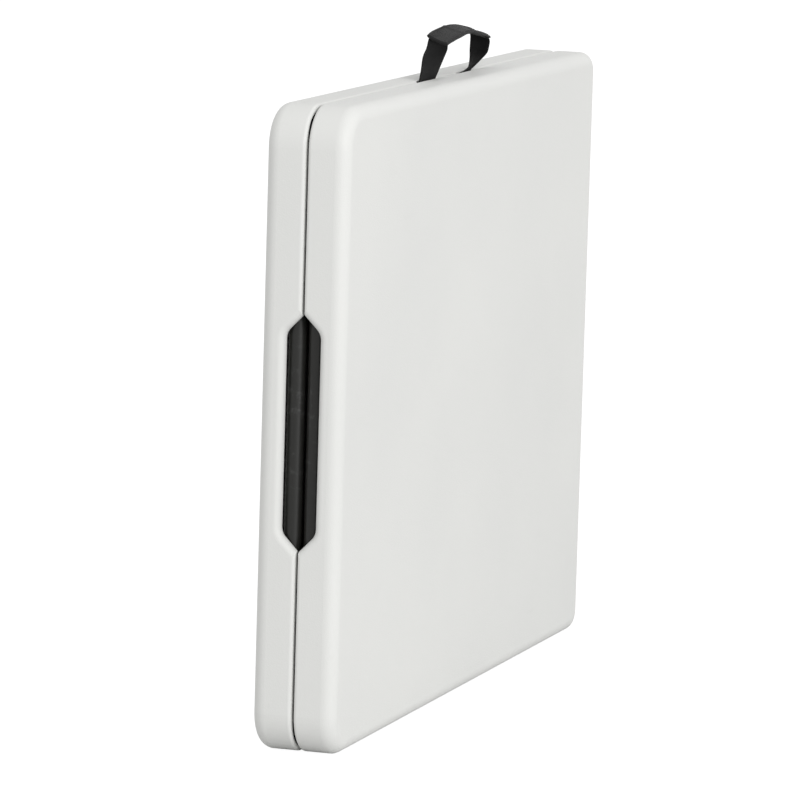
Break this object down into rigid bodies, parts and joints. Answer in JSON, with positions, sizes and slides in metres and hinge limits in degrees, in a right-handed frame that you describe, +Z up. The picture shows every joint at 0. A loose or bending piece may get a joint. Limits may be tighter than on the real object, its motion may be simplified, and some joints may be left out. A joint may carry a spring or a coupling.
{
  "type": "folding table",
  "caption": "Fold-in-half utility table with a blow-moulded plastic top, steel frame, braced telescoping folding legs and a webbing carry strap.",
  "frame": {"origin": "middle of the folded table's lower long edge, under the seam, at the height that it stands on", "axes": "+X along the folded half, from the open end with the finger notch to the centre hinge; +Y through the thickness, from half B to half A; +Z up across the width of the top"},
  "size_m": [0.907, 0.094, 0.755],
  "materials": {
    "white_plastic": "fine pebbled blow-moulded polyethylene",
    "black_steel": "satin powder coat",
    "black_plate": "satin powder coat on pressed plate",
    "grey_steel": "satin grey powder coat with sliding marks",
    "zinc_plate": "zinc plated",
    "zinc_screws": "zinc plated",
    "black_plastic": "moulded, lightly textured",
    "rubber": "matt rubber",
    "webbing": "woven webbing"
  },
  "bodies": {
    "half_a": {"shell_a": "white_plastic", "side_rail_a_low": "black_steel", "side_rail_a_high": "black_steel", "end_bar_a": "black_steel", "hinge_bar_a": "black_steel", "rail_plugs_a": "black_plastic", "rail_clips_a": "zinc_plate", "floor_screws_a": "zinc_screws", "leg_brackets_a": "black_plate", "brace_bracket_a": "black_plate", "brace_pin_a": "zinc_screws", "leg_cradles_a": "black_plastic", "hinge_lugs_a": "black_plate", "hinge_pins": "zinc_screws", "strap": "webbing", "strap_anchors": "zinc_plate", "strap_screws": "zinc_screws"},
    "half_b": {"shell_b": "white_plastic", "side_rail_b_low": "black_steel", "side_rail_b_high": "black_steel", "end_bar_b": "black_steel", "hinge_bar_b": "black_steel", "rail_plugs_b": "black_plastic", "rail_clips_b": "zinc_plate", "floor_screws_b": "zinc_screws", "leg_brackets_b": "black_plate", "brace_bracket_b": "black_plate", "brace_pin_b": "zinc_screws", "leg_cradles_b": "black_plastic", "hinge_lugs_b": "black_plate"},
    "leg_a": {"leg_pivot_bar_a": "black_steel", "leg_tube_a_low": "black_steel", "leg_tube_a_high": "black_steel", "leg_crossbar_a": "black_steel", "leg_collars_a": "black_plastic"},
    "foot_a": {"inner_tube_a_low": "grey_steel", "inner_tube_a_high": "grey_steel", "foot_bar_a": "black_steel", "foot_caps_a": "rubber"},
    "upper_link_a": {"brace_upper_a": "black_plate"},
    "lower_link_a": {"brace_lower_a": "black_plate"},
    "knob_a_low": {"knob_a_low": "black_plastic"},
    "knob_a_high": {"knob_a_high": "black_plastic"},
    "leg_b": {"leg_pivot_bar_b": "black_steel", "leg_tube_b_low": "black_steel", "leg_tube_b_high": "black_steel", "leg_crossbar_b": "black_steel", "leg_collars_b": "black_plastic"},
    "foot_b": {"inner_tube_b_low": "grey_steel", "inner_tube_b_high": "grey_steel", "foot_bar_b": "black_steel", "foot_caps_b": "rubber"},
    "upper_link_b": {"brace_upper_b": "black_plate"},
    "lower_link_b": {"brace_lower_b": "black_plate"},
    "knob_b_low": {"knob_b_low": "black_plastic"},
    "knob_b_high": {"knob_b_high": "black_plastic"}
  },
  "joints": [
    {"name": "table_fold", "type": "hinge", "parent": "half_a", "child": "half_b", "pos_m": [0.447, 0, 0.35], "axis": [0, 0, 1], "range_deg": [0, 180]},
    {"name": "leg_a_swing", "type": "hinge", "parent": "half_a", "child": "leg_a", "pos_m": [-0.383, 0.0125, 0.35], "axis": [0, 0, -1], "range_deg": [0, 90]},
    {"name": "foot_a_slide", "type": "slide", "parent": "leg_a", "child": "foot_a", "axis": [1, 0, 0], "range_m": [0, 0.2841]},
    {"name": "brace_a_upper_turn", "type": "hinge", "parent": "half_a", "child": "upper_link_a", "pos_m": [-0.148, 0.0195, 0.35], "axis": [0, 0, -1], "range_deg": [0, 136.61]},
    {"name": "brace_a_lower_turn", "type": "hinge", "parent": "leg_a", "child": "lower_link_a", "pos_m": [-0.178, 0.0125, 0.35], "axis": [0, 0, 1], "range_deg": [0, 130.84]},
    {"name": "knob_a_low_turn", "type": "hinge", "parent": "leg_a", "child": "knob_a_low", "pos_m": [-0.025, 0.0125, 0.081], "axis": [0, 0, 1], "range_deg": [0, 360]},
    {"name": "knob_a_high_turn", "type": "hinge", "parent": "leg_a", "child": "knob_a_high", "pos_m": [-0.025, 0.0125, 0.619], "axis": [0, 0, -1], "range_deg": [0, 360]},
    {"name": "leg_b_swing", "type": "hinge", "parent": "half_b", "child": "leg_b", "pos_m": [-0.383, -0.0125, 0.35], "axis": [0, 0, 1], "range_deg": [0, 90]},
    {"name": "foot_b_slide", "type": "slide", "parent": "leg_b", "child": "foot_b", "axis": [1, 0, 0], "range_m": [0, 0.2841]},
    {"name": "brace_b_upper_turn", "type": "hinge", "parent": "half_b", "child": "upper_link_b", "pos_m": [-0.148, -0.0195, 0.35], "axis": [0, 0, 1], "range_deg": [0, 136.61]},
    {"name": "brace_b_lower_turn", "type": "hinge", "parent": "leg_b", "child": "lower_link_b", "pos_m": [-0.178, -0.0125, 0.35], "axis": [0, 0, -1], "range_deg": [0, 130.84]},
    {"name": "knob_b_low_turn", "type": "hinge", "parent": "leg_b", "child": "knob_b_low", "pos_m": [-0.025, -0.0125, 0.081], "axis": [0, 0, 1], "range_deg": [0, 360]},
    {"name": "knob_b_high_turn", "type": "hinge", "parent": "leg_b", "child": "knob_b_high", "pos_m": [-0.025, -0.0125, 0.619], "axis": [0, 0, -1], "range_deg": [0, 360]}
  ],
  "couplings": [
    {"joint": "leg_a_swing", "follows": "table_fold", "ratio": 0.5},
    {"joint": "brace_a_upper_turn", "follows": "table_fold", "ratio": 0.75896},
    {"joint": "brace_a_lower_turn", "follows": "table_fold", "ratio": 0.7269},
    {"joint": "leg_b_swing", "follows": "table_fold", "ratio": 0.5},
    {"joint": "brace_b_upper_turn", "follows": "table_fold", "ratio": 0.75896},
    {"joint": "brace_b_lower_turn", "follows": "table_fold", "ratio": 0.7269}
  ]
}
